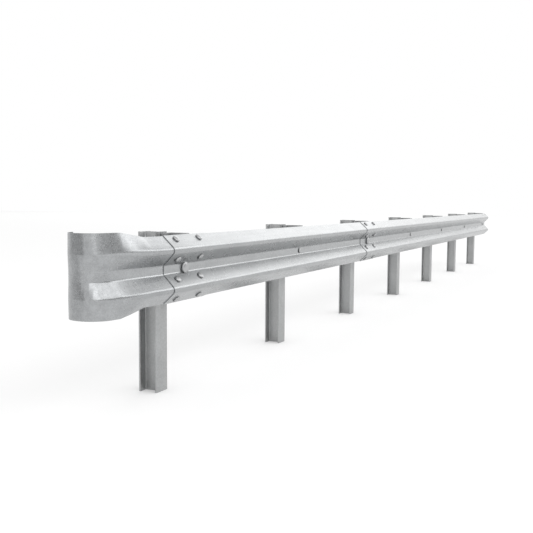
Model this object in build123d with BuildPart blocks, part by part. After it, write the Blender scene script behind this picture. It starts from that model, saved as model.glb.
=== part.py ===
from build123d import *
import math
import os

os.makedirs("parts", exist_ok=True)

# Highway guardrail: a W-beam rail on H-section posts, with a bull-nose terminal at one end.
# Row frame: +X runs along the rail away from the terminal, +Y points away from the traffic
# and +Z is up. The origin is the centre of the first post's base, at ground level.
# All sizes are in millimetres.

# Layout
BAY = 1500.0                # post centre to post centre
PANEL_BAYS = (2, 4)         # whole bays spanned by each rail panel, from the terminal on
RAIL_TOP = 775.0            # top edge of the rail above the ground
BOLT_OFFSET = 20.0          # post bolt to the post's centre plane, so that it clears the web
SHEET_GAP = 0.2             # between two nested rail sheets
SEAT_GAP = 0.2              # between a rail or a post and the spacer bolted to it

# H-section posts
POST_HEIGHT = 790.0
POST_DEPTH = 100.0          # across the flanges, along Y
POST_FLANGE = 100.0         # flange width, along X
POST_FLANGE_T = 8.0
POST_WEB_T = 6.0
POST_ROOT_R = 5.0

# Channel spacers between post and rail
SPACER_DEPTH = 111.0        # post to rail
SPACER_WIDTH = 90.0
SPACER_OFFSET = 40.0        # middle of a spacer to the post's centre plane, along X
SPACER_TOP = 783.0          # above the ground
SPACER_HEIGHT = 308.0
SPACER_T = 5.0
SPACER_BEND_R = 8.0         # outside radius of its two bends

# W-beam sheet, measured on its back face
SHEET_T = 3.0
RAIL_HEIGHT = 312.0
CREST_DEPTH = 69.0          # sharp corner of a crest in front of the valley, before its radius
CREST_HEIGHT = 92.5         # crest above and below the rail's centre line
VALLEY_HALF = 22.0          # half the flat of the valley
CREST_R = 20.0
VALLEY_R = 22.0

# Splices: two columns of four bolts and the post bolt between them
COLUMN_PITCH = 216.0
END_DISTANCE = 78.0         # sheet end to the nearer column
OUTER_ROW = 137.0           # bolt rows above and below the centre line
INNER_ROW = 52.0
SPLICE_SLOT_L = 28.0
SPLICE_SLOT_W = 20.0
POST_SLOT_L = 60.0
POST_SLOT_W = 20.0
SLOT_REACH = 12.0           # how far a slot's cutter reaches to each side of the sheet
BOLT_HOLE_D = 18.0          # round holes in posts and spacers
SWELL_LENGTH = 40.0         # run over which a panel steps out over the sheet under it

# Terminal
FLARE_START = 200.0         # from the first post to the end of the full W section
FLARE_LENGTH = 378.0        # full W section to the start of the curl
FLARE_HEIGHT = 362.0        # height of the sheet once its edges have unfolded
FLARE_RISE = 6.0            # how far its middle lies above the rail's centre line at the curl
UNFOLD_START = 130.0        # run of the flare before the outer slopes start to unfold
UNFOLD_LENGTH = 210.0       # run over which they unfold
EDGE_FORWARD = 0.5          # share of the crest depth by which the unfolded edges come forward
CURL_R = 92.0               # inside radius of the curl
CURL_TURN = 180             # degrees that the curl turns through
RIDGE_LEFT = 0.03           # share of the crest depth that stays where the ridges end
RIDGE_END = 90              # degrees of curl at which they end
RIDGE_FADE_POWER = 2.2      # how late in the flare the ridges lose their depth
FLARE_STEPS = (3, 5, 2)     # straight steps before, along and after the unfolding
CURL_STEPS = 18             # straight steps round the curl

RAIL_Z = RAIL_TOP - RAIL_HEIGHT / 2
RAIL_BACK_Y = -(POST_DEPTH / 2 + SPACER_DEPTH + 2 * SEAT_GAP)
LAP_HALF = COLUMN_PITCH / 2 + END_DISTANCE
POST_COUNT = sum(PANEL_BAYS) + 1


def sheet_corners(depth_share, height, lift, edge_share=0.0):
    """Corners of the W line, lifted off the back face by lift, measured square to the sheet."""
    depth = CREST_DEPTH * depth_share
    edge_depth = depth * edge_share
    line = [
        (edge_depth, height / 2),
        (depth, CREST_HEIGHT),
        (0.0, VALLEY_HALF),
        (0.0, -VALLEY_HALF),
        (depth, -CREST_HEIGHT),
        (edge_depth, -height / 2),
    ]
    normals = []
    for (u0, w0), (u1, w1) in zip(line, line[1:]):
        length = math.hypot(u1 - u0, w1 - w0)
        normals.append(((w0 - w1) / length, (u1 - u0) / length))
    lifted = []
    for index, (u, w) in enumerate(line):
        first = normals[max(index - 1, 0)]
        second = normals[min(index, len(normals) - 1)]
        share = lift / (1 + first[0] * second[0] + first[1] * second[1])
        lifted.append((u + share * (first[0] + second[0]), w + share * (first[1] + second[1])))
    return lifted


def sheet_section(plane, depth_share=1.0, height=RAIL_HEIGHT, lift=0.0, edge_share=0.0):
    """Closed section of the sheet on a plane whose x axis points towards the traffic."""
    front_lift = lift + SHEET_T
    front = sheet_corners(depth_share, height, front_lift, edge_share)
    back = sheet_corners(depth_share, height, lift, edge_share)
    front_radii = [CREST_R + front_lift, VALLEY_R - front_lift]
    back_radii = [CREST_R + lift, VALLEY_R - lift]
    with BuildSketch(plane) as section:
        with BuildLine():
            FilletPolyline(*front, radius=front_radii + front_radii[::-1])
            Line(front[-1], back[-1])
            FilletPolyline(*back, radius=back_radii + back_radii[::-1])
            Line(back[0], front[0])
        make_face()
    return section.sketch


def rail_plane(x, rise=0.0):
    """Plane across the rail at x; its normal points to -X, back towards the terminal."""
    return Plane(origin=(x, RAIL_BACK_Y, RAIL_Z + rise), x_dir=(0, -1, 0), z_dir=(-1, 0, 0))


def curl_plane(degrees):
    """Plane across the curled sheet after it has turned through some degrees."""
    angle = math.radians(degrees)
    start_x = -(FLARE_START + FLARE_LENGTH)
    origin = (
        start_x - CURL_R * math.sin(angle),
        RAIL_BACK_Y + CURL_R * (1 - math.cos(angle)),
        RAIL_Z + FLARE_RISE,
    )
    outward = (-math.sin(angle), -math.cos(angle), 0)
    heading = (-math.cos(angle), math.sin(angle), 0)
    return Plane(origin=origin, x_dir=outward, z_dir=heading)


def slope_plane(x, row):
    """Plane square to the sheet at a bolt row; its x axis runs along the rail."""
    top = sheet_corners(1.0, RAIL_HEIGHT, 0.0)
    edge, crest, valley = top[0], top[1], top[2]
    low, high = (crest, edge) if abs(row) > CREST_HEIGHT else (valley, crest)
    share = (abs(row) - low[1]) / (high[1] - low[1])
    depth = low[0] + share * (high[0] - low[0])
    side = math.copysign(1.0, row)
    normal = (0, -(high[1] - low[1]), side * (low[0] - high[0]))
    origin = (x, RAIL_BACK_Y - depth, RAIL_Z + row)
    return Plane(origin=origin, x_dir=(1, 0, 0), z_dir=normal)


def cut_splice_slots(bolt_x):
    """Eight slots round a splice, cut square to the sloping faces of the open part."""
    for x in (bolt_x - COLUMN_PITCH / 2, bolt_x + COLUMN_PITCH / 2):
        for row in (OUTER_ROW, INNER_ROW, -INNER_ROW, -OUTER_ROW):
            with BuildSketch(slope_plane(x, row)) as slot:
                SlotOverall(SPLICE_SLOT_L, SPLICE_SLOT_W)
            extrude(slot.sketch, amount=SLOT_REACH, both=True, mode=Mode.SUBTRACT)


def cut_post_slot(bolt_x):
    """Slot for a post bolt in the flat of the valley of the open part."""
    valley = Plane(origin=(bolt_x, RAIL_BACK_Y, RAIL_Z), x_dir=(1, 0, 0), z_dir=(0, -1, 0))
    with BuildSketch(valley) as slot:
        SlotOverall(POST_SLOT_L, POST_SLOT_W)
    extrude(slot.sketch, amount=SLOT_REACH, both=True, mode=Mode.SUBTRACT)


def finish(part, name):
    """Label a finished part and write it to its own file."""
    part.label = name
    export_step(part, f"parts/{name}.step")


# Posts: rolled H sections with their flanges across the line of the rail
def build_post(name, x):
    with BuildPart() as post:
        with BuildSketch(Plane.XY):
            with Locations((x, 0)):
                Rectangle(POST_FLANGE, POST_DEPTH)
                with Locations(
                    ((POST_FLANGE + POST_WEB_T) / 4, 0),
                    (-(POST_FLANGE + POST_WEB_T) / 4, 0),
                ):
                    Rectangle(
                        (POST_FLANGE - POST_WEB_T) / 2,
                        POST_DEPTH - 2 * POST_FLANGE_T,
                        mode=Mode.SUBTRACT,
                    )
        extrude(amount=POST_HEIGHT)
        root_edges = [
            edge for edge in post.edges().filter_by(Axis.Z)
            if abs(edge.center().X - x) < POST_WEB_T
        ]
        fillet(root_edges, POST_ROOT_R)
        with BuildSketch(Plane(origin=(x + BOLT_OFFSET, -POST_DEPTH / 2, RAIL_Z), z_dir=(0, 1, 0))):
            Circle(BOLT_HOLE_D / 2)
        extrude(amount=POST_DEPTH / 2, mode=Mode.SUBTRACT)
    finish(post.part, name)


# Spacers: cold-formed channels, open towards the terminal, bolted between post and rail
def build_spacer(name, x):
    back_y = -(POST_DEPTH / 2 + SEAT_GAP)
    middle_x = x + SPACER_OFFSET
    middle_y = back_y - SPACER_DEPTH / 2
    bottom = Plane.XY.offset(SPACER_TOP - SPACER_HEIGHT)
    with BuildPart() as spacer:
        with BuildSketch(bottom):
            with Locations((middle_x, middle_y)):
                Rectangle(SPACER_WIDTH, SPACER_DEPTH)
        extrude(amount=SPACER_HEIGHT)
        bends = spacer.edges().filter_by(Axis.Z).group_by(Axis.X)[-1]
        fillet(bends, SPACER_BEND_R)
        with BuildSketch(bottom) as hollow:
            with Locations((middle_x - SPACER_T, middle_y)):
                Rectangle(SPACER_WIDTH, SPACER_DEPTH - 2 * SPACER_T)
            corners = hollow.vertices().group_by(Axis.X)[-1]
            fillet(corners, SPACER_BEND_R - SPACER_T)
        extrude(amount=SPACER_HEIGHT, mode=Mode.SUBTRACT)
        with BuildSketch(Plane(origin=(x + BOLT_OFFSET, back_y, RAIL_Z), z_dir=(0, -1, 0))):
            Circle(BOLT_HOLE_D / 2)
        extrude(amount=SPACER_DEPTH, mode=Mode.SUBTRACT)
    finish(spacer.part, name)


# Rail panels: each starts with a swelled end that nests over the sheet before it
def build_panel(name, first_bolt_x, bays):
    start = first_bolt_x - LAP_HALF
    swell_end = first_bolt_x + LAP_HALF + SHEET_GAP
    body_start = swell_end + SWELL_LENGTH
    end = first_bolt_x + bays * BAY + LAP_HALF
    proud = SHEET_T + SHEET_GAP
    with BuildPart() as panel:
        extrude(sheet_section(rail_plane(end)), amount=end - body_start, dir=(-1, 0, 0))
        loft([
            sheet_section(rail_plane(body_start)).faces()[0],
            sheet_section(rail_plane(swell_end), lift=proud).faces()[0],
        ])
        swell = sheet_section(rail_plane(swell_end), lift=proud)
        extrude(swell, amount=swell_end - start, dir=(-1, 0, 0))
        cut_splice_slots(first_bolt_x)
        cut_splice_slots(first_bolt_x + bays * BAY)
        for bay in range(bays + 1):
            cut_post_slot(first_bolt_x + bay * BAY)
    finish(panel.part, name)


# Terminal: the W section flattens, unfolds its outer slopes and curls back from the traffic
def ridge_share(run):
    """Share of the crest depth after some run of sheet past the full W section."""
    fade_length = FLARE_LENGTH + CURL_R * math.radians(RIDGE_END)
    share = min(run / fade_length, 1.0) ** RIDGE_FADE_POWER
    return 1 - (1 - RIDGE_LEFT) * share


def unfolded(run):
    """How far the outer slopes have unfolded after some run: 0 is the full W, 1 all the way."""
    return min(max((run - UNFOLD_START) / UNFOLD_LENGTH, 0.0), 1.0)


def terminal_section(run):
    """Section of the terminal's sheet after some run past the full W section."""
    if run <= FLARE_LENGTH:
        plane = rail_plane(-(FLARE_START + run), FLARE_RISE * run / FLARE_LENGTH)
    else:
        plane = curl_plane(math.degrees((run - FLARE_LENGTH) / CURL_R))
    height = RAIL_HEIGHT + (FLARE_HEIGHT - RAIL_HEIGHT) * unfolded(run)
    edge_share = EDGE_FORWARD * unfolded(run)
    section = sheet_section(plane, ridge_share(run), height, edge_share=edge_share)
    return section.faces()[0]


def terminal_runs():
    """Runs at which the terminal's sections stand, up to the end of the curl."""
    ends = [0.0, UNFOLD_START, UNFOLD_START + UNFOLD_LENGTH, FLARE_LENGTH]
    ends.append(FLARE_LENGTH + CURL_R * math.radians(CURL_TURN))
    runs = []
    for start, end, steps in zip(ends, ends[1:], FLARE_STEPS + (CURL_STEPS,)):
        runs += [start + (end - start) * step / steps for step in range(steps)]
    return runs + ends[-1:]


def build_terminal(name):
    lap_end = BOLT_OFFSET + LAP_HALF
    with BuildPart() as terminal:
        extrude(sheet_section(rail_plane(lap_end)), amount=lap_end + FLARE_START, dir=(-1, 0, 0))
        loft([terminal_section(run) for run in terminal_runs()], ruled=True)
        cut_splice_slots(BOLT_OFFSET)
        cut_post_slot(BOLT_OFFSET)
    finish(terminal.part, name)


for number in range(POST_COUNT):
    build_post(f"post_{number + 1}", number * BAY)
    build_spacer(f"spacer_{number + 1}", number * BAY)

first_bay = 0
for number, bays in enumerate(PANEL_BAYS):
    build_panel(f"rail_panel_{number + 1}", BOLT_OFFSET + first_bay * BAY, bays)
    first_bay += bays

build_terminal("terminal_end")
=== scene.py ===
import math

import bmesh
import bpy
from mathutils import Matrix, Vector


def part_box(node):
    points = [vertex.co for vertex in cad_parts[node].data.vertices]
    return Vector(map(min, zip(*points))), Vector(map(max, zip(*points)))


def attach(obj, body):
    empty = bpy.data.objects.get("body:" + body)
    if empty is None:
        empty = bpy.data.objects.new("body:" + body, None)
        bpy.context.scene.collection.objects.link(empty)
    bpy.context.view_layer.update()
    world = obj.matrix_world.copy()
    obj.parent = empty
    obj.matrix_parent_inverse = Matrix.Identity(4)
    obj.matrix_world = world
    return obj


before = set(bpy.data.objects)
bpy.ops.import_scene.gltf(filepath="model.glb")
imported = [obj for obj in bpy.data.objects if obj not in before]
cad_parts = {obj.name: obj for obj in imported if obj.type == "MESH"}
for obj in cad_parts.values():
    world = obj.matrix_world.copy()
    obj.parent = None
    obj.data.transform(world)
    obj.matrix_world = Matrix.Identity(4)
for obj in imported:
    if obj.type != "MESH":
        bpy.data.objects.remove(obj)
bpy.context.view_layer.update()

# Highway guardrail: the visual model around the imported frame. All sizes are in metres, in the
# row frame: +X along the rail away from the terminal, +Y away from the traffic, +Z up.

# CAD nodes
POSTS = sorted(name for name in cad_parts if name.startswith("post_"))
SPACERS = sorted(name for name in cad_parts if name.startswith("spacer_"))
PANELS = sorted(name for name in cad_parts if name.startswith("rail_panel_"))
TERMINAL = "terminal_end"

# Bolting, as on the frame: a bolt at each post, and eight more round it where two sheets lap
BOLT_OFFSET = 0.020            # post bolt from the post's centre plane
COLUMN_OFFSET = 0.108          # splice bolts from the post bolt, along the rail
OUTER_ROW = 0.137              # splice bolts above and below the rail's middle
INNER_ROW = 0.052
END_DISTANCE = 0.078           # from a column of splice bolts to the end of the sheet
LAP_HALF = COLUMN_OFFSET + END_DISTANCE
LAP_MATCH = 0.010              # how near a panel's end is to a lap's for the panel to start there

# Rays that find where a bolt sits; they pass beside its hole or slot
BESIDE_SPLICE_SLOT = 0.020
BESIDE_POST_SLOT = 0.036
BESIDE_ROUND_HOLE = 0.012
RAY_START = 1.0                # from the posts' centre line
RAY_LIFT = 0.080               # of the start of a ray along a bolt, from the back sheet

# Fasteners: M16
SHANK_R = 0.0080
THREAD_PITCH = 0.0020
THREAD_DEPTH = 0.0012
THREAD_OVER = 0.0080           # thread that shows past a nut
THREAD_TAPER = 0.8             # how fast the end of the thread narrows
SPLICE_HEAD_R = 0.0180
SPLICE_HEAD_H = 0.0105
POST_HEAD_R = 0.0290           # at a splice
POST_HEAD_H = 0.0160
SMALL_HEAD_R = 0.0170          # at a post between splices
SMALL_HEAD_H = 0.0080
HEAD_RIM_SHARE = 0.45          # upright part of a head's height
NUT_ACROSS = 0.0240
NUT_H = 0.0130
NUT_CHAMFER = 0.0012
WASHER_R = 0.0150
WASHER_H = 0.0030
WASHER_PLAY = 0.0005

# Facets
ROUND_STEPS = 32               # round a head or a washer
DOME_STEPS = 8                 # from a head's rim to its top
NUT_STEPS = 24
ROD_STEPS = 16
ROWS_A_PITCH = 4

# Edges of the CAD nodes
WELD = 0.00002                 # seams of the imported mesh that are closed
SMOOTH_BELOW = 32              # degrees between faces that still shade as one surface
POST_EASE = 0.0020             # easing of a post's edges
SPACER_EASE = 0.0010
EASE_ABOVE = 50                # degrees between faces whose edge is eased
EASE_SEGMENTS = 2

# Zinc
RAIL_COLOUR = (0.412, 0.422, 0.428)
TERMINAL_COLOUR = (0.452, 0.463, 0.472)
POST_COLOUR = (0.485, 0.492, 0.494)
SPACER_COLOUR = (0.34, 0.345, 0.35)
BOLT_COLOUR = (0.48, 0.485, 0.49)
CLOUD_SCALE = 9.0              # noise scales are per metre
GRAIN_SCALE = 420.0
STREAK_SCALE = 45.0
STREAK_STRETCH = (0.06, 1.0, 1.0)
CLOUD_SHADE = 0.08             # how much darker the darkest cloud is
NOISE_SPAN = (0.30, 0.70)      # noise values that the shading runs between
STREAK_SPAN = (0.35, 0.65)
CLOUD_RELIEF = 0.0006
GRAIN_RELIEF = 0.00005
GRAIN_BUMP_SHARE = 0.3         # of the bump that the clouds get

# Colour sockets of a Mix node, which share their names with its other sockets
MIX_FIRST = 6
MIX_SECOND = 7
MIX_RESULT = 2

# Camera: beside the terminal, looking along the rail
CAMERA_PLACE = (-3.2357, -2.0790, 0.9402)
CAMERA_HEADING = 24.36         # degrees from +X towards +Y
CAMERA_PITCH = 4.79            # degrees downwards
CAMERA_ROLL = 0.41
CAMERA_LENS = 52.49            # millimetres, and so is the sensor
SENSOR_WIDTH = 36.0
VIEW_END = 200.0

# Studio
MATT_ROUGHNESS = 0.9
FLOOR_HALF = 48.0
FLOOR_COLOUR = (0.80, 0.80, 0.80)
FLOOR_LIFT = 0.19              # added to what the camera sees of the floor, so that it is white
SKY_LIGHT = 0.90               # strength of the world as a light; where it is seen it is 1
WALL_COLOUR = (0.50, 0.50, 0.50)
SCREEN_COLOUR = (0.38, 0.38, 0.38)

# Cards for the zinc to reflect: start and end in plan, bottom, top, colour
CARDS = {
    "left_wall": ((-4.2, 1.2), (-4.2, 6.0), 0.0, 1.8, WALL_COLOUR),
    "back_wall": ((-4.2, 6.0), (-2.5, 14.0), 0.0, 2.6, WALL_COLOUR),
    "left_screen": ((-4.2, -7.0), (-4.2, -2.9), 1.3, 2.1, SCREEN_COLOUR),
    "front_screen": ((-7.0, -7.0), (3.6, -7.0), 1.4, 3.5, SCREEN_COLOUR),
    "right_screen": ((3.6, -7.0), (7.0, -7.0), 1.6, 4.6, SCREEN_COLOUR),
}

# Soft lights: place, the point it faces, width and height, watts
SOFTBOXES = {
    "far_light": ((60.0, 13.0, 34.0), (0.0, 13.0, 34.0), (40.0, 44.0), 5450.0),
    "side_light": ((60.0, -20.0, 23.0), (0.0, -20.0, 23.0), (26.0, 20.0), 1750.0),
    "front_light": ((0.0, -7.0, 5.5), (0.0, 0.0, 3.0), (30.0, 4.0), 430.0),
    "left_light": ((-8.1, -5.0, 5.2), (-0.5, -0.2, 1.4), (5.0, 3.5), 38.0),
}


# Materials
def new_material(name):
    """A new material, its node tree and its Principled shader."""
    material = bpy.data.materials.new(name)
    material.use_nodes = True
    tree = material.node_tree
    return material, tree, tree.nodes["Principled BSDF"]


def add_node(tree, kind, **values):
    """A node with some of its inputs or properties set by name."""
    node = tree.nodes.new(kind)
    for key, value in values.items():
        if key in node.inputs:
            node.inputs[key].default_value = value
        else:
            setattr(node, key, value)
    return node


def shading(tree, source, depth, span=(0.0, 1.0)):
    """Grey that goes from darker by a depth to white while a node's output goes through a span."""
    node = tree.nodes.new("ShaderNodeValToRGB")
    stops = node.color_ramp.elements
    stops[0].position, stops[1].position = span
    stops[0].color = (1 - depth, 1 - depth, 1 - depth, 1)
    stops[1].color = (1, 1, 1, 1)
    tree.links.new(source, node.inputs["Fac"])
    return node.outputs["Color"]


def multiply(tree, first, second):
    """Two colours multiplied."""
    node = add_node(tree, "ShaderNodeMix", data_type="RGBA", blend_type="MULTIPLY")
    node.inputs["Factor"].default_value = 1.0
    tree.links.new(first, node.inputs[MIX_FIRST])
    tree.links.new(second, node.inputs[MIX_SECOND])
    return node.outputs[MIX_RESULT]


def galvanized(name, colour, roughness, mottle, bump, cell, grit=0.04, streak=0.0):
    """Hot-dip galvanized steel: zinc crystals, cloudy patches, fine grain and rolling streaks.

    mottle, grit and streak are how far the crystals, the grain and the streaks along X differ in
    brightness, and cell is the size of a crystal in metres.
    """
    material, tree, shader = new_material(name)
    shader.inputs["Metallic"].default_value = 1.0
    place = add_node(tree, "ShaderNodeTexCoord").outputs["Object"]
    stretched = add_node(tree, "ShaderNodeMapping")
    stretched.inputs["Scale"].default_value = STREAK_STRETCH
    tree.links.new(place, stretched.inputs["Vector"])

    crystals = add_node(tree, "ShaderNodeTexVoronoi", Scale=1 / cell, Randomness=1.0)
    clouds = add_node(tree, "ShaderNodeTexNoise", Scale=CLOUD_SCALE, Detail=3.0, Roughness=0.5)
    grain = add_node(tree, "ShaderNodeTexNoise", Scale=GRAIN_SCALE, Detail=3.0, Roughness=0.7)
    streaks = add_node(tree, "ShaderNodeTexNoise", Scale=STREAK_SCALE, Detail=1.5, Roughness=0.5)
    for node in (crystals, clouds, grain):
        tree.links.new(place, node.inputs["Vector"])
    tree.links.new(stretched.outputs["Vector"], streaks.inputs["Vector"])

    # Each crystal's own colour gives it one random value for its shade and one for its gloss
    crystal = tree.nodes.new("ShaderNodeSeparateColor")
    tree.links.new(crystals.outputs["Color"], crystal.inputs["Color"])
    base = add_node(tree, "ShaderNodeRGB")
    base.outputs["Color"].default_value = (*colour, 1)
    tint = multiply(tree, base.outputs["Color"], shading(tree, crystal.outputs["Red"], mottle))
    tint = multiply(tree, tint, shading(tree, clouds.outputs["Fac"], CLOUD_SHADE, NOISE_SPAN))
    tint = multiply(tree, tint, shading(tree, grain.outputs["Fac"], grit, NOISE_SPAN))
    tint = multiply(tree, tint, shading(tree, streaks.outputs["Fac"], streak, STREAK_SPAN))
    tree.links.new(tint, shader.inputs["Base Color"])

    gloss = add_node(tree, "ShaderNodeMapRange")
    gloss.inputs["To Min"].default_value = roughness * (1 - mottle)
    gloss.inputs["To Max"].default_value = roughness * (1 + mottle)
    tree.links.new(crystal.outputs["Green"], gloss.inputs["Value"])
    tree.links.new(gloss.outputs["Result"], shader.inputs["Roughness"])

    relief = add_node(tree, "ShaderNodeBump", Strength=bump, Distance=CLOUD_RELIEF)
    tree.links.new(clouds.outputs["Fac"], relief.inputs["Height"])
    fine = add_node(tree, "ShaderNodeBump", Strength=bump * GRAIN_BUMP_SHARE, Distance=GRAIN_RELIEF)
    tree.links.new(grain.outputs["Fac"], fine.inputs["Height"])
    tree.links.new(relief.outputs["Normal"], fine.inputs["Normal"])
    tree.links.new(fine.outputs["Normal"], shader.inputs["Normal"])
    return material


def matt(name, colour):
    """A matt material of one colour for the staging, with its node tree and its shader."""
    material, tree, shader = new_material(name)
    shader.inputs["Base Color"].default_value = (*colour, 1)
    shader.inputs["Roughness"].default_value = MATT_ROUGHNESS
    shader.inputs["Specular IOR Level"].default_value = 0.0
    return material, tree, shader


# Finish of the CAD nodes
def smoothing_group():
    """Node group that shades smooth except over sharp edges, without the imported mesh's normals."""
    group = bpy.data.node_groups.new("smooth_by_angle", "GeometryNodeTree")
    group.interface.new_socket("Geometry", in_out="INPUT", socket_type="NodeSocketGeometry")
    group.interface.new_socket("Geometry", in_out="OUTPUT", socket_type="NodeSocketGeometry")
    source = group.nodes.new("NodeGroupInput")
    result = group.nodes.new("NodeGroupOutput")
    plain = group.nodes.new("GeometryNodeRemoveAttribute")
    plain.inputs["Name"].default_value = "custom_normal"
    angle = group.nodes.new("GeometryNodeInputMeshEdgeAngle")
    sharp = group.nodes.new("FunctionNodeCompare")
    sharp.data_type = "FLOAT"
    sharp.operation = "GREATER_THAN"
    sharp.inputs["B"].default_value = math.radians(SMOOTH_BELOW)

    # Every face and edge is made smooth, then the sharp edges are taken out again
    shaded = []
    for domain, smooth in (("FACE", True), ("EDGE", True), ("EDGE", False)):
        node = group.nodes.new("GeometryNodeSetShadeSmooth")
        node.domain = domain
        node.inputs["Shade Smooth"].default_value = smooth
        shaded.append(node)
    faces, every_edge, sharp_edges = shaded
    links = group.links
    links.new(source.outputs[0], plain.inputs["Geometry"])
    links.new(plain.outputs["Geometry"], faces.inputs["Geometry"])
    links.new(faces.outputs["Geometry"], every_edge.inputs["Geometry"])
    links.new(every_edge.outputs["Geometry"], sharp_edges.inputs["Geometry"])
    links.new(angle.outputs["Unsigned Angle"], sharp.inputs["A"])
    links.new(sharp.outputs["Result"], sharp_edges.inputs["Selection"])
    links.new(sharp_edges.outputs["Geometry"], result.inputs[0])
    return group


def paint(node, material):
    """The material in place of the ones that a CAD node came with."""
    slots = node.data.materials
    for index in range(len(slots)):
        slots[index] = material
    if not slots:
        slots.append(material)


def finish_nodes(names, material, smooth_group, ease=0.0):
    """Material, closed seams and smooth shading for CAD nodes, with their edges eased if asked."""
    for name in names:
        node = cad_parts[name]
        paint(node, material)
        weld = node.modifiers.new("weld", "WELD")
        weld.merge_threshold = WELD
        if ease:
            bevel = node.modifiers.new("ease", "BEVEL")
            bevel.width = ease
            bevel.segments = EASE_SEGMENTS
            bevel.limit_method = "ANGLE"
            bevel.angle_limit = math.radians(EASE_ABOVE)
        smooth = node.modifiers.new("smooth", "NODES")
        smooth.node_group = smooth_group


# Meshes of the fasteners, each standing on height 0 and turned about Z
def add_ring(mesh, height, reaches):
    """A ring of vertices at a height, evenly spaced, each at its own reach from the axis."""
    ring = []
    for step, reach in enumerate(reaches):
        angle = 2 * math.pi * step / len(reaches)
        ring.append(mesh.verts.new((reach * math.cos(angle), reach * math.sin(angle), height)))
    return ring


def join_rings(mesh, rings, closed=False):
    """Faces from each ring to the next, and from the last back to the first if closed."""
    following = rings[1:] + rings[:1] if closed else rings[1:]
    for low, high in zip(rings, following):
        for step in range(len(low)):
            after = (step + 1) % len(low)
            corners = dict.fromkeys((low[step], low[after], high[after], high[step]))
            mesh.faces.new(list(corners))


def completed(mesh, smooth):
    """The mesh with its normals outwards, shaded smooth or flat."""
    for face in mesh.faces:
        face.smooth = smooth
    bmesh.ops.recalc_face_normals(mesh, faces=mesh.faces)
    return mesh


def domed_head(radius, height):
    """A low domed bolt head with a short upright rim."""
    head = bmesh.new()
    rim = height * HEAD_RIM_SHARE
    profile = [(radius, 0), (radius, rim)]
    for step in range(1, DOME_STEPS):
        angle = math.pi / 2 * step / DOME_STEPS
        profile.append((radius * math.cos(angle), rim + (height - rim) * math.sin(angle)))
    bottom = head.verts.new((0, 0, 0))
    rings = [add_ring(head, level, [reach] * ROUND_STEPS) for reach, level in profile]
    top = head.verts.new((0, 0, height))
    join_rings(head, [[bottom] * ROUND_STEPS, *rings, [top] * ROUND_STEPS])
    return completed(head, smooth=True)


def washer(radius, bore, height):
    """A flat washer."""
    ring = bmesh.new()
    profile = [(bore, 0), (radius, 0), (radius, height), (bore, height)]
    rings = [add_ring(ring, level, [reach] * ROUND_STEPS) for reach, level in profile]
    join_rings(ring, rings, closed=True)
    return completed(ring, smooth=False)


def hexagon_nut(across, height, bore):
    """A hexagon nut: six flats, a chamfered top and bottom, and its bore."""
    nut = bmesh.new()
    flats = []
    for step in range(NUT_STEPS):
        turn = 2 * math.pi * step / NUT_STEPS
        from_middle = (turn + math.pi / 6) % (math.pi / 3) - math.pi / 6
        flats.append(across / 2 / math.cos(from_middle))
    corner = across / math.sqrt(3)
    chamfered = height - NUT_CHAMFER
    profile = [(across / 2, 0), (corner, NUT_CHAMFER), (corner, chamfered), (across / 2, height)]
    rings = [add_ring(nut, level, [min(reach, flat) for flat in flats]) for reach, level in profile]
    rings += [add_ring(nut, level, [bore] * NUT_STEPS) for level in (height, 0)]
    join_rings(nut, rings, closed=True)
    return completed(nut, smooth=False)


def threaded_rod(radius, length, pitch, depth):
    """A rod with a helical thread and a tapered, closed end."""
    rod = bmesh.new()
    rows = int(length / pitch * ROWS_A_PITCH)
    rings = []
    for row in range(rows + 1):
        level = length * row / rows
        taper = max(level - (length - pitch), 0) * THREAD_TAPER
        reaches = []
        for step in range(ROD_STEPS):
            phase = (level / pitch - step / ROD_STEPS) % 1.0
            cut = depth * (1 - abs(2 * phase - 1))
            reaches.append(radius - max(cut, taper))
        rings.append(add_ring(rod, level, reaches))
    join_rings(rod, rings)
    rod.faces.new(rings[-1])
    rod.faces.new(rings[0][::-1])
    return completed(rod, smooth=True)


# Bolts
piece_counts = {}


def add_piece(kind, mesh_data, material, place):
    """A mesh as an object that rides on the frame; each kind numbers its pieces."""
    piece_counts[kind] = piece_counts.get(kind, 0) + 1
    name = f"{kind}_{piece_counts[kind]}"
    mesh = bpy.data.meshes.new(name)
    mesh_data.to_mesh(mesh)
    mesh_data.free()
    mesh.materials.append(material)
    piece = bpy.data.objects.new(name, mesh)
    bpy.context.scene.collection.objects.link(piece)
    piece.matrix_world = place
    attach(piece, "root")


def add_bolt(kind, head_place, nut_place, head_radius, head_height, material):
    """A bolt through two faces that look away from each other: its head, washer, nut and shank."""
    grip = (head_place.translation - nut_place.translation).length
    add_piece(f"{kind}_head", domed_head(head_radius, head_height), material, head_place)
    ring = washer(WASHER_R, SHANK_R + WASHER_PLAY, WASHER_H)
    add_piece(f"{kind}_washer", ring, material, nut_place)
    on_washer = nut_place @ Matrix.Translation((0, 0, WASHER_H))
    add_piece(f"{kind}_nut", hexagon_nut(NUT_ACROSS, NUT_H, SHANK_R), material, on_washer)
    through = head_place @ Matrix.Rotation(math.pi, 4, "X")
    length = grip + WASHER_H + NUT_H + THREAD_OVER
    shank = threaded_rod(SHANK_R, length, THREAD_PITCH, THREAD_DEPTH)
    add_piece(f"{kind}_shank", shank, material, through)


def facing(point, normal):
    """Placing at a point with Z along a normal and X along the rail."""
    up = Vector(normal).normalized()
    across = up.cross(Vector((1, 0, 0))).normalized()
    along = across.cross(up)
    rotation = Matrix((along, across, up)).transposed().to_4x4()
    return Matrix.Translation(point) @ rotation


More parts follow.
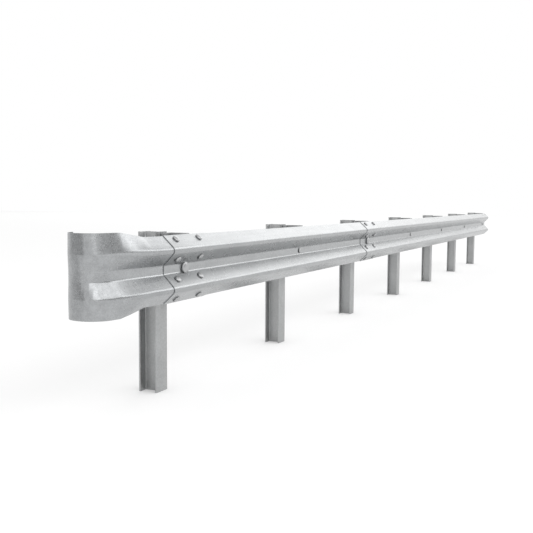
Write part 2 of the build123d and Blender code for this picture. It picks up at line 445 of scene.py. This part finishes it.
def feel(name, start, direction, x):
    """Where a ray first meets a CAD node, moved to a bolt's own x, and the normal there."""
    hit, point, normal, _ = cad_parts[name].ray_cast(Vector(start), Vector(direction))
    if not hit:
        raise ValueError(f"no surface of {name} from {tuple(start)}")
    point.x = x
    return point, normal


def sheets_at(x):
    """The rail sheets in front and at the back at a post bolt; the same one where none lap."""
    outer = inner = None
    for panel in PANELS:
        low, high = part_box(panel)
        if abs(x - LAP_HALF - low.x) < LAP_MATCH:
            outer = panel
        elif low.x < x < high.x:
            inner = panel
    if outer == PANELS[0]:
        inner = TERMINAL
    return outer or inner, inner


def bolt_splice(x, middle, outer, inner, material):
    """Eight bolts square to the slopes of two lapped sheets, in two columns round x."""
    for column in (-COLUMN_OFFSET, COLUMN_OFFSET):
        for row in (OUTER_ROW, INNER_ROW, -INNER_ROW, -OUTER_ROW):
            bolt_x = x + column
            start = (bolt_x + BESIDE_SPLICE_SLOT, RAY_START, middle + row)
            back, normal = feel(inner, start, (0, -1, 0), bolt_x)
            axis = -normal.normalized()
            start = back + Vector((BESIDE_SPLICE_SLOT, 0, 0)) + axis * RAY_LIFT
            front, _ = feel(outer, start, -axis, bolt_x)
            add_bolt("splice_bolt", facing(front, axis), facing(back, -axis),
                     SPLICE_HEAD_R, SPLICE_HEAD_H, material)


def bolt_post(post, x, middle, outer, head_radius, head_height, material):
    """The bolt through the rail's valley, the spacer and a post's front flange."""
    start = (x + BESIDE_POST_SLOT, -RAY_START, middle)
    front, _ = feel(outer, start, (0, 1, 0), x)
    start = (x + BESIDE_ROUND_HOLE, 0, middle)
    back, _ = feel(post, start, (0, -1, 0), x)
    add_bolt("post_bolt", facing(front, (0, -1, 0)), facing(back, (0, 1, 0)),
             head_radius, head_height, material)


# Studio
def aim_camera(place, heading, pitch, roll):
    """The scene's camera at a place; heading is from +X towards +Y, pitch is downwards."""
    data = bpy.data.cameras.new("camera")
    data.lens = CAMERA_LENS
    data.sensor_width = SENSOR_WIDTH
    data.clip_end = VIEW_END
    camera = bpy.data.objects.new("camera", data)
    bpy.context.scene.collection.objects.link(camera)
    turn = Matrix.Rotation(math.radians(heading - 90), 4, "Z")
    tilt = Matrix.Rotation(math.radians(90 - pitch), 4, "X")
    twist = Matrix.Rotation(math.radians(roll), 4, "Z")
    camera.matrix_world = Matrix.Translation(place) @ turn @ tilt @ twist
    bpy.context.scene.camera = camera


def seen_directly(tree):
    """1 for camera, glossy and transmission rays, 0 for the light that falls on things."""
    rays = tree.nodes.new("ShaderNodeLightPath")
    first = add_node(tree, "ShaderNodeMath", operation="MAXIMUM")
    tree.links.new(rays.outputs["Is Camera Ray"], first.inputs[0])
    tree.links.new(rays.outputs["Is Glossy Ray"], first.inputs[1])
    second = add_node(tree, "ShaderNodeMath", operation="MAXIMUM")
    tree.links.new(first.outputs[0], second.inputs[0])
    tree.links.new(rays.outputs["Is Transmission Ray"], second.inputs[1])
    return second.outputs[0]


def add_stage(name, corners, material):
    """A flat piece of the staging between corners."""
    mesh = bpy.data.meshes.new(name)
    mesh.from_pydata(corners, [], [tuple(range(len(corners)))])
    mesh.materials.append(material)
    sheet = bpy.data.objects.new(name, mesh)
    bpy.context.scene.collection.objects.link(sheet)
    return sheet


def build_floor():
    """A pale floor that reads as white to the camera and keeps the shadow of the object."""
    material, tree, shader = matt("floor", FLOOR_COLOUR)
    lift = add_node(tree, "ShaderNodeMath", operation="MULTIPLY")
    tree.links.new(seen_directly(tree), lift.inputs[0])
    lift.inputs[1].default_value = FLOOR_LIFT
    shader.inputs["Emission Color"].default_value = (1, 1, 1, 1)
    tree.links.new(lift.outputs[0], shader.inputs["Emission Strength"])
    half = FLOOR_HALF
    corners = [(-half, -half, 0), (half, -half, 0), (half, half, 0), (-half, half, 0)]
    add_stage("floor", corners, material)


def light_world():
    """White for camera and reflections, softer for the light that falls on the object."""
    world = bpy.data.worlds.new("studio")
    bpy.context.scene.world = world
    world.use_nodes = True
    tree = world.node_tree
    background = tree.nodes["Background"]
    strength = add_node(tree, "ShaderNodeMapRange")
    strength.inputs["To Min"].default_value = SKY_LIGHT
    strength.inputs["To Max"].default_value = 1.0
    tree.links.new(seen_directly(tree), strength.inputs["Value"])
    tree.links.new(strength.outputs["Result"], background.inputs["Strength"])
    background.inputs["Color"].default_value = (1, 1, 1, 1)


def build_card(name, start, end, bottom, top, colour):
    """An upright grey card that only reflections show, and that casts no shadow."""
    material, _, _ = matt(name, colour)
    corners = [(*start, bottom), (*end, bottom), (*end, top), (*start, top)]
    card = add_stage(name, corners, material)
    card.visible_camera = False
    card.visible_diffuse = False
    card.visible_shadow = False


def add_softbox(name, place, target, size, energy):
    """A soft light of a width and a height, aimed at a point."""
    lamp = bpy.data.lights.new(name, "AREA")
    lamp.shape = "RECTANGLE"
    lamp.size, lamp.size_y = size
    lamp.energy = energy
    box = bpy.data.objects.new(name, lamp)
    bpy.context.scene.collection.objects.link(box)
    aim = (Vector(target) - Vector(place)).to_track_quat("-Z", "Y")
    box.matrix_world = Matrix.Translation(place) @ aim.to_matrix().to_4x4()


# The CAD nodes get their finish
rail_zinc = galvanized("rail zinc", RAIL_COLOUR, roughness=0.28, mottle=0.03, bump=0.01,
                       cell=0.018, grit=0.01, streak=0.07)
terminal_zinc = galvanized("terminal zinc", TERMINAL_COLOUR, roughness=0.30, mottle=0.11, bump=0.03,
                           cell=0.006, grit=0.06, streak=0.09)
post_zinc = galvanized("post zinc", POST_COLOUR, roughness=0.48, mottle=0.13, bump=0.12, cell=0.006)
spacer_zinc = galvanized("spacer zinc", SPACER_COLOUR, roughness=0.46, mottle=0.16, bump=0.15,
                         cell=0.006)
bolt_zinc = galvanized("bolt zinc", BOLT_COLOUR, roughness=0.34, mottle=0.08, bump=0.10, cell=0.004)
smooth_group = smoothing_group()
finish_nodes([TERMINAL], terminal_zinc, smooth_group)
finish_nodes(PANELS, rail_zinc, smooth_group)
finish_nodes(POSTS, post_zinc, smooth_group, POST_EASE)
finish_nodes(SPACERS, spacer_zinc, smooth_group, SPACER_EASE)

# Bolts at every post
panel_low, panel_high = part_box(PANELS[-1])
rail_middle = (panel_low.z + panel_high.z) / 2
for post in POSTS:
    post_low, post_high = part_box(post)
    x = (post_low.x + post_high.x) / 2 + BOLT_OFFSET
    outer, inner = sheets_at(x)
    if outer != inner:
        bolt_splice(x, rail_middle, outer, inner, bolt_zinc)
        bolt_post(post, x, rail_middle, outer, POST_HEAD_R, POST_HEAD_H, bolt_zinc)
    else:
        bolt_post(post, x, rail_middle, outer, SMALL_HEAD_R, SMALL_HEAD_H, bolt_zinc)

# Camera, floor and light
aim_camera(CAMERA_PLACE, CAMERA_HEADING, CAMERA_PITCH, CAMERA_ROLL)
build_floor()
light_world()
for name, card in CARDS.items():
    build_card(name, *card)
for name, softbox in SOFTBOXES.items():
    add_softbox(name, *softbox)
bpy.context.scene.view_settings.view_transform = "Standard"
